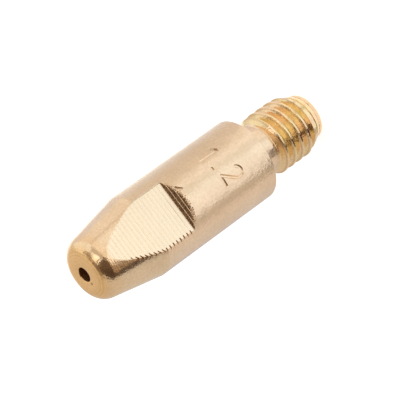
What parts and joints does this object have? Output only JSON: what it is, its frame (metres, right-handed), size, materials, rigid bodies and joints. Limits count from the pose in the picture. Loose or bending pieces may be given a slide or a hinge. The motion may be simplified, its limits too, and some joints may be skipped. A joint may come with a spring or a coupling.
{
  "type": "welding contact tip",
  "caption": "Turned copper alloy contact tip with a wire bore, tapered nose, milled spanner flats and a threaded screw end.",
  "frame": {"origin": "centre of the threaded end face, on the bore axis", "axes": "+Z along the bore axis towards the nose, the two spanner flats face -Y and +Y"},
  "size_m": [0.008, 0.008, 0.028],
  "materials": {
    "copper_alloy": "satin turned body, brighter nose and thread"
  },
  "bodies": {
    "root": {"contact_tip": "copper_alloy"}
  },
  "joints": []
}
